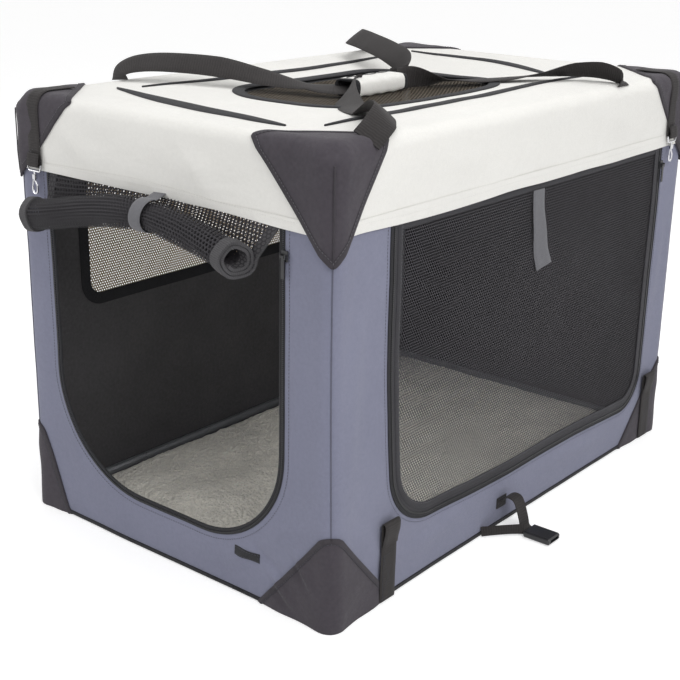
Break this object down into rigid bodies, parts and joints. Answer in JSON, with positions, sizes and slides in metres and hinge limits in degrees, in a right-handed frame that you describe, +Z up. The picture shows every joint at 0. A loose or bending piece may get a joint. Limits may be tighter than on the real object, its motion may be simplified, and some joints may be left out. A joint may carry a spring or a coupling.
{
  "type": "dog transport box",
  "caption": "Soft-sided folding pet transport box: tube frame with knee-jointed posts, cloth walls, net doors and window, roof cover with valance, webbing handle and snap hooks.",
  "frame": {"origin": "middle of the floor's underside, on the surface that the box stands on", "axes": "+X out of the long side with the net door, -Y out of the front with the rolled door, +Z up"},
  "size_m": [0.674, 0.9639, 0.6834],
  "materials": {
    "cream_cloth": "plain woven polyester",
    "grey_cloth": "plain woven polyester",
    "charcoal_cloth": "heavy woven cloth and webbing",
    "net": "open knitted net",
    "plush": "short plush pile",
    "steel": "coated tube",
    "chrome": "polished",
    "plastic": "moulded"
  },
  "bodies": {
    "base": {"floor_panel": "grey_cloth", "plush_mat": "plush", "base_ring": "steel", "base_bracket_front_left": "plastic", "base_bracket_front_right": "plastic", "base_bracket_rear_left": "plastic", "base_bracket_rear_right": "plastic", "front_wall": "grey_cloth", "rear_wall": "grey_cloth", "right_wall": "grey_cloth", "left_wall": "grey_cloth", "left_window_net": "net", "floor_patch_front_left": "charcoal_cloth", "floor_patch_front_right": "charcoal_cloth", "floor_patch_rear_left": "charcoal_cloth", "floor_patch_rear_right": "charcoal_cloth", "tab_front": "charcoal_cloth", "tab_rear": "charcoal_cloth"},
    "front_lower_posts": {"lower_post_front_left": "steel", "lower_post_front_right": "steel"},
    "front_upper_posts": {"upper_post_front_left": "steel", "upper_post_front_right": "steel"},
    "rear_lower_posts": {"lower_post_rear_left": "steel", "lower_post_rear_right": "steel"},
    "rear_upper_posts": {"upper_post_rear_left": "steel", "upper_post_rear_right": "steel"},
    "top": {"roof_cover": "cream_cloth", "roof_net": "net", "top_ring": "steel", "top_bracket_front_left": "plastic", "top_bracket_front_right": "plastic", "top_bracket_rear_left": "plastic", "top_bracket_rear_right": "plastic", "top_patch_front_left": "charcoal_cloth", "top_patch_front_right": "charcoal_cloth", "top_patch_rear_left": "charcoal_cloth", "top_patch_rear_right": "charcoal_cloth", "handle_strap_front_left": "charcoal_cloth", "handle_strap_front_right": "charcoal_cloth", "handle_strap_rear_left": "charcoal_cloth", "handle_strap_rear_right": "charcoal_cloth", "hook_strap_front": "charcoal_cloth", "hook_strap_side": "charcoal_cloth"},
    "side_door": {"side_door": "net"},
    "side_tie": {"side_tie": "grey_cloth"},
    "front_door": {"rolled_door": "net", "roll_tie": "grey_cloth"},
    "handle": {"handle_wrap": "cream_cloth"},
    "front_eye": {"hook_eye_front": "chrome"},
    "front_hook": {"snap_hook_front": "chrome"},
    "front_gate": {"hook_gate_front": "chrome"},
    "side_eye": {"hook_eye_side": "chrome"},
    "side_hook": {"snap_hook_side": "chrome"},
    "side_gate": {"hook_gate_side": "chrome"},
    "front_slider": {"zip_slider_front": "plastic"},
    "front_pull": {"zip_pull_front": "plastic"},
    "side_slider": {"zip_slider_side": "plastic"},
    "side_pull": {"zip_pull_side": "plastic"},
    "pack": {"pack_strap": "charcoal_cloth", "pack_buckle": "plastic"}
  },
  "joints": [
    {"name": "frame_fold", "type": "hinge", "parent": "base", "child": "front_lower_posts", "pos_m": [0, -0.4394, 0.0453], "axis": [1, 0, 0], "range_deg": [-82, 0], "deforming": ["front_wall", "rear_wall", "right_wall", "left_wall", "left_window_net", "side_door", "side_tie", "rolled_door", "roll_tie", "floor_patch_front_left", "floor_patch_front_right", "floor_patch_rear_left", "floor_patch_rear_right", "tab_front", "tab_rear"]},
    {"name": "front_knee", "type": "hinge", "parent": "front_lower_posts", "child": "front_upper_posts", "pos_m": [0, -0.4434, 0.315], "axis": [1, 0, 0], "range_deg": [0, 164]},
    {"name": "front_top_pivot", "type": "hinge", "parent": "front_upper_posts", "child": "top", "pos_m": [0, -0.4394, 0.5847], "axis": [1, 0, 0], "range_deg": [-82, 0]},
    {"name": "rear_fold", "type": "hinge", "parent": "base", "child": "rear_lower_posts", "pos_m": [0, 0.4394, 0.0453], "axis": [1, 0, 0], "range_deg": [0, 82]},
    {"name": "rear_knee", "type": "hinge", "parent": "rear_lower_posts", "child": "rear_upper_posts", "pos_m": [0, 0.4434, 0.315], "axis": [1, 0, 0], "range_deg": [-164, 0]},
    {"name": "side_door_hinge", "type": "hinge", "parent": "base", "child": "side_door", "pos_m": [0.2877, 0, 0.516], "axis": [0, -1, 0], "range_deg": [0, 85]},
    {"name": "side_tie_swing", "type": "hinge", "parent": "side_door", "child": "side_tie", "pos_m": [0.2887, 0, 0.507], "axis": [0, -1, 0], "range_deg": [0, 60]},
    {"name": "front_door_swing", "type": "hinge", "parent": "top", "child": "front_door", "pos_m": [0, -0.4543, 0.5164], "axis": [-1, 0, 0], "range_deg": [0, 75]},
    {"name": "handle_lift", "type": "slide", "parent": "top", "child": "handle", "axis": [0, 0, 1], "range_m": [0, 0.05], "deforming": ["handle_strap_front_left", "handle_strap_front_right", "handle_strap_rear_left", "handle_strap_rear_right"]},
    {"name": "front_eye_swing", "type": "hinge", "parent": "top", "child": "front_eye", "pos_m": [-0.248, -0.4615, 0.534], "axis": [-1, 0, 0], "range_deg": [0, 60]},
    {"name": "front_hook_swivel", "type": "hinge", "parent": "front_eye", "child": "front_hook", "pos_m": [-0.248, -0.4615, 0.5206], "axis": [0, 0, 1], "continuous": true},
    {"name": "front_gate_hinge", "type": "hinge", "parent": "front_hook", "child": "front_gate", "pos_m": [-0.25102, -0.4615, 0.5122], "axis": [0, -1, 0], "range_deg": [0, 25], "stiffness_Nm_per_rad": 0.02},
    {"name": "side_eye_swing", "type": "hinge", "parent": "top", "child": "side_eye", "pos_m": [0.2965, 0.398, 0.534], "axis": [0, -1, 0], "range_deg": [0, 60]},
    {"name": "side_hook_swivel", "type": "hinge", "parent": "side_eye", "child": "side_hook", "pos_m": [0.2965, 0.398, 0.5206], "axis": [0, 0, 1], "continuous": true},
    {"name": "side_gate_hinge", "type": "hinge", "parent": "side_hook", "child": "side_gate", "pos_m": [0.2965, 0.39498, 0.5122], "axis": [1, 0, 0], "range_deg": [0, 25], "stiffness_Nm_per_rad": 0.02},
    {"name": "front_zip_slide", "type": "slide", "parent": "top", "child": "front_slider", "axis": [0, 0, -1], "range_m": [0, 0.28]},
    {"name": "front_pull_swing", "type": "hinge", "parent": "front_slider", "child": "front_pull", "pos_m": [0.214, -0.4582, 0.488], "axis": [-1, 0, 0], "range_deg": [0, 90]},
    {"name": "side_zip_slide", "type": "slide", "parent": "top", "child": "side_slider", "axis": [0, 0, -1], "range_m": [0, 0.3]},
    {"name": "side_pull_swing", "type": "hinge", "parent": "side_slider", "child": "side_pull", "pos_m": [0.2932, 0.382, 0.488], "axis": [0, -1, 0], "range_deg": [0, 90]},
    {"name": "pack_strap_lift", "type": "hinge", "parent": "base", "child": "pack", "pos_m": [0.2889, -0.045, 0.04], "axis": [0, -1, 0], "range_deg": [0, 45]}
  ],
  "couplings": [
    {"joint": "front_knee", "follows": "frame_fold", "ratio": -2},
    {"joint": "front_top_pivot", "follows": "frame_fold", "ratio": 1},
    {"joint": "rear_fold", "follows": "frame_fold", "ratio": -1},
    {"joint": "rear_knee", "follows": "frame_fold", "ratio": 2}
  ]
}
